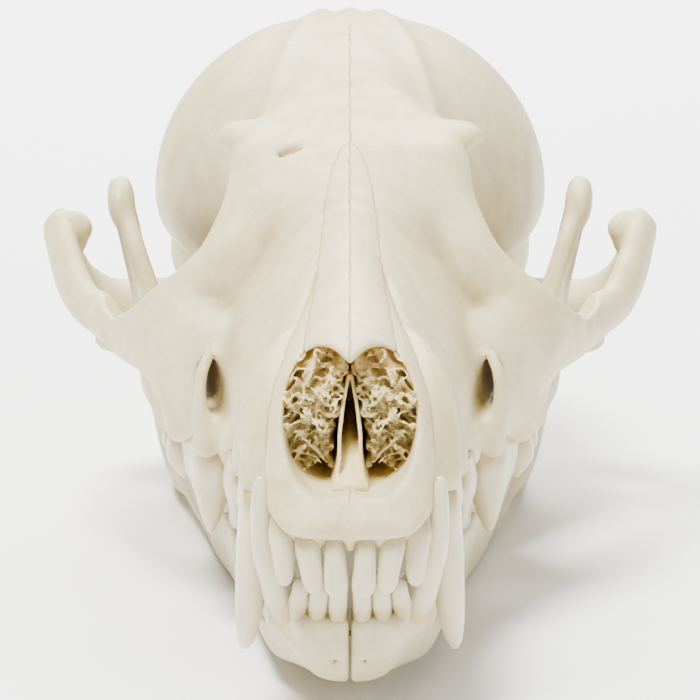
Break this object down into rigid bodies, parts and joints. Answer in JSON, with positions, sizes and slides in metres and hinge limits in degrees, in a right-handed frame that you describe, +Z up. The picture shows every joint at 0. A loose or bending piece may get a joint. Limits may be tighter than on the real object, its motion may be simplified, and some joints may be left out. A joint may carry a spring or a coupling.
{
  "type": "fox skull",
  "caption": "Cleaned fox skull with its lower jaw closed: long snout, open eye sockets and cheekbone arches, round braincase, curved canines and full rows of teeth.",
  "frame": {"origin": "centre of the bounding box's bottom face, on the surface that the lower jaw rests on", "axes": "+Z up, -Y towards the snout, +X towards the animal's left side"},
  "size_m": [0.077, 0.1434, 0.0624],
  "materials": {
    "skull_bone": "dry bleached bone, smooth and faintly satin, ivory with warmer hollows",
    "jaw_bone": "dry bleached bone, smooth and faintly satin",
    "enamel": "polished ivory-white tooth enamel"
  },
  "bodies": {
    "root": {"cranium": "skull_bone", "mandible_right": "jaw_bone", "mandible_left": "jaw_bone", "upper_incisor_1_right": "enamel", "upper_incisor_2_right": "enamel", "upper_incisor_3_right": "enamel", "upper_canine_right": "enamel", "upper_premolar_1_right": "enamel", "upper_premolar_2_right": "enamel", "upper_premolar_3_right": "enamel", "upper_premolar_4_right": "enamel", "upper_molar_1_right": "enamel", "upper_molar_2_right": "enamel", "lower_incisor_1_right": "enamel", "lower_incisor_2_right": "enamel", "lower_incisor_3_right": "enamel", "lower_canine_right": "enamel", "lower_premolar_1_right": "enamel", "lower_premolar_2_right": "enamel", "lower_premolar_3_right": "enamel", "lower_premolar_4_right": "enamel", "lower_molar_1_right": "enamel", "lower_molar_2_right": "enamel", "lower_molar_3_right": "enamel", "upper_incisor_1_left": "enamel", "upper_incisor_2_left": "enamel", "upper_incisor_3_left": "enamel", "upper_canine_left": "enamel", "upper_premolar_1_left": "enamel", "upper_premolar_2_left": "enamel", "upper_premolar_3_left": "enamel", "upper_premolar_4_left": "enamel", "upper_molar_1_left": "enamel", "upper_molar_2_left": "enamel", "lower_incisor_1_left": "enamel", "lower_incisor_2_left": "enamel", "lower_incisor_3_left": "enamel", "lower_canine_left": "enamel", "lower_premolar_1_left": "enamel", "lower_premolar_2_left": "enamel", "lower_premolar_3_left": "enamel", "lower_premolar_4_left": "enamel", "lower_molar_1_left": "enamel", "lower_molar_2_left": "enamel", "lower_molar_3_left": "enamel"}
  },
  "joints": []
}
